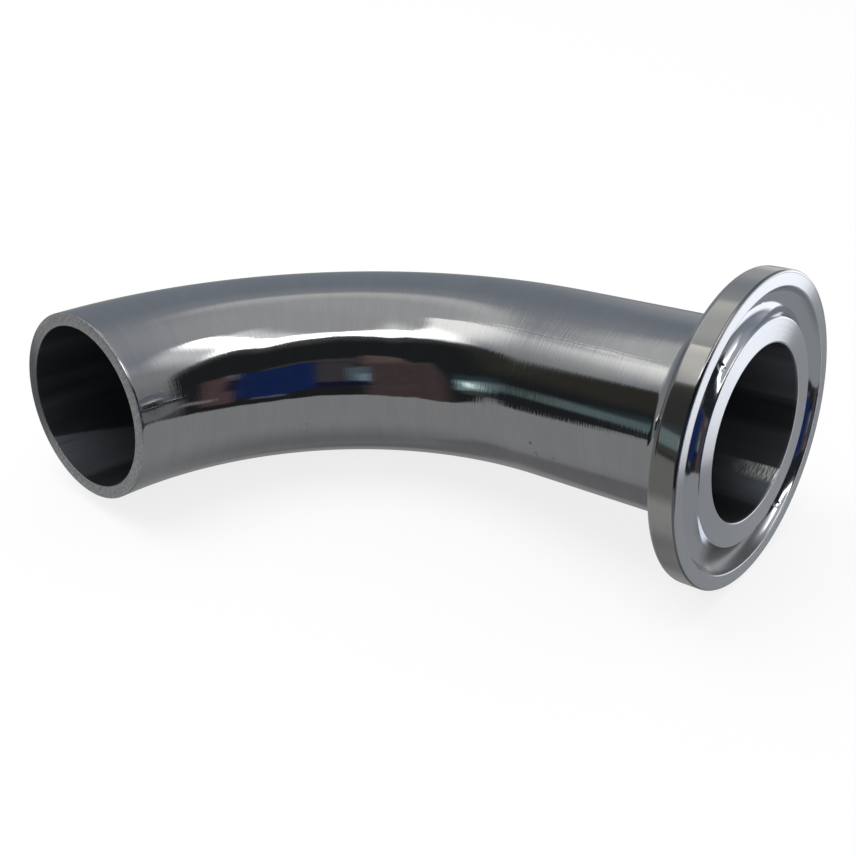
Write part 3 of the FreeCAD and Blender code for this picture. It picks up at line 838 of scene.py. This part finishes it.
    # Painted shadow: the table is darker straight down and in a band beneath, standing in for the elbow's own
    # shadow on it.
    table = maker.mix(maker.between(level, -88, -48), (0.165, 0.168, 0.17), (0.265, 0.27, 0.27))
    beneath = maker.times(maker.between(level, -61, -67), maker.between(level, -80, -74),
                          maker.between(maker.math("ABSOLUTE", bearing), 115, 140))
    table = maker.mix(beneath, table, (0.155, 0.155, 0.16))
    table_edge = outline(((-180, -12), (-128, -14), (-121, -15.5), (-117.5, -12), (-115, -7.5), (-112, -8),
                          (-108, -13), (-103, -16), (-92, -18.8), (-82, -16), (-66, -13.8), (-45, -12.7),
                          (-20, -14), (16, -14.5), (30, -13), (46, -12.7), (54, -11.8), (62, -9.8),
                          (180, -9.8)))
    colour = maker.mix(under(table_edge, 0.5), colour, table)
    glow = maker.nodes.new("ShaderNodeEmission")
    maker.link(colour, glow.inputs["Color"])
    maker.link(glow.outputs[0], maker.output.inputs["Surface"])
    return maker.material


def stage_piece(mesh, name, material):
    """A stage object from a bmesh, which isn't part of the elbow."""
    data = bpy.data.meshes.new(name)
    mesh.to_mesh(data)
    mesh.free()
    data.materials.append(material)
    piece = bpy.data.objects.new(name, data)
    bpy.context.scene.collection.objects.link(piece)
    return piece


class ELBOW_OT_stage(bpy.types.Operator):
    """Sets up the floor, the room that the steel mirrors, the soft light and the camera"""
    bl_idname = "elbow.stage"
    bl_label = "Stage"

    def execute(self, context):
        scene, settings = context.scene, context.scene.elbow_stage
        mesh = bmesh.new()
        bmesh.ops.create_grid(mesh, x_segments=1, y_segments=1, size=FLOOR_REACH)
        maker = MaterialMaker("floor")
        maker.surface.inputs["Base Color"].default_value = (*settings.floor, 1)
        maker.surface.inputs["Roughness"].default_value = 0.9
        maker.surface.inputs["Specular IOR Level"].default_value = 0.0
        seen = maker.seen_rays()
        white = maker.nodes.new("ShaderNodeEmission")
        white.inputs["Color"].default_value = (1, 1, 1, 1)
        blend = maker.nodes.new("ShaderNodeMixShader")
        maker.link(maker.times(seen, settings.floor_glow), blend.inputs[0])
        maker.link(maker.surface.outputs[0], blend.inputs[1])
        maker.link(white.outputs[0], blend.inputs[2])
        maker.link(blend.outputs[0], maker.output.inputs["Surface"])
        floor = stage_piece(mesh, "floor", maker.material)
        floor.visible_glossy = False

        mesh = bmesh.new()
        bmesh.ops.create_icosphere(mesh, subdivisions=5, radius=ROOM_RADIUS)
        bmesh.ops.reverse_faces(mesh, faces=mesh.faces)
        room = stage_piece(mesh, "room", room_material())
        room.visible_camera = room.visible_diffuse = room.visible_transmission = False
        room.visible_volume_scatter = room.visible_shadow = False

        world = bpy.data.worlds.new("plain_light")
        scene.world = world
        world.use_nodes = True
        tree = world.node_tree
        background = tree.nodes["Background"]
        rays = tree.nodes.new("ShaderNodeLightPath")
        seen = rays.outputs["Is Camera Ray"]
        for ray in ("Is Glossy Ray", "Is Transmission Ray"):
            more = tree.nodes.new("ShaderNodeMath")
            more.operation = "MAXIMUM"
            tree.links.new(seen, more.inputs[0])
            tree.links.new(rays.outputs[ray], more.inputs[1])
            seen = more.outputs[0]
        strength = tree.nodes.new("ShaderNodeMapRange")
        tree.links.new(seen, strength.inputs["Value"])
        strength.inputs["To Min"].default_value = settings.sky
        strength.inputs["To Max"].default_value = 1.0
        tree.links.new(strength.outputs["Result"], background.inputs["Strength"])
        background.inputs["Color"].default_value = (1, 1, 1, 1)

        soft = bpy.data.lights.new("soft_lamp", "AREA")
        soft.shape = "DISK"
        soft.size = LAMP_SIZE
        soft.energy = settings.lamp
        lamp = bpy.data.objects.new("soft_lamp", soft)
        lamp.location = LAMP_PLACE
        lamp.rotation_euler = (-LAMP_PLACE).to_track_quat("-Z", "Y").to_euler()
        lamp.visible_glossy = False
        scene.collection.objects.link(lamp)

        lens = bpy.data.cameras.new("camera")
        lens.sensor_width = 36
        lens.lens = settings.lens
        lens.shift_x, lens.shift_y = settings.shift
        lens.clip_start, lens.clip_end = 0.005, 10
        camera = bpy.data.objects.new("camera", lens)
        camera.location = settings.camera_place
        camera.rotation_euler = Euler(settings.camera_turn)
        scene.collection.objects.link(camera)
        scene.camera = camera
        scene.view_settings.view_transform = "Standard"
        return {"FINISHED"}


class ELBOW_PT_panel(bpy.types.Panel):
    """Lists the pieces and the stage"""
    bl_idname = "ELBOW_PT_panel"
    bl_label = "Clamp elbow"
    bl_space_type = "VIEW_3D"
    bl_region_type = "UI"
    bl_category = "Elbow"

    def draw(self, context):
        for operator in STEPS:
            self.layout.operator(operator.bl_idname)
        for group in ("elbow_sizes", "elbow_looks", "elbow_stage"):
            settings = getattr(context.scene, group)
            box = self.layout.box()
            for name in settings.bl_rna.properties.keys():
                if name not in ("rna_type", "name"):
                    box.prop(settings, name)


STEPS = (ELBOW_OT_bent_tube, ELBOW_OT_clamp_ferrule, ELBOW_OT_stage)
GROUPS = {"elbow_sizes": ElbowSizes, "elbow_looks": SteelLooks, "elbow_stage": StageSettings}


def register():
    for group in GROUPS.values():
        bpy.utils.register_class(group)
    for name, group in GROUPS.items():
        setattr(bpy.types.Scene, name, PointerProperty(type=group))
    for operator in STEPS:
        bpy.utils.register_class(operator)
    bpy.utils.register_class(ELBOW_PT_panel)


def unregister():
    bpy.utils.unregister_class(ELBOW_PT_panel)
    for operator in reversed(STEPS):
        bpy.utils.unregister_class(operator)
    for name, group in GROUPS.items():
        delattr(bpy.types.Scene, name)
        bpy.utils.unregister_class(group)


def main():
    register()
    bpy.ops.elbow.bent_tube()
    bpy.ops.elbow.clamp_ferrule()
    bpy.ops.elbow.stage()


if __name__ == "__main__":
    main()
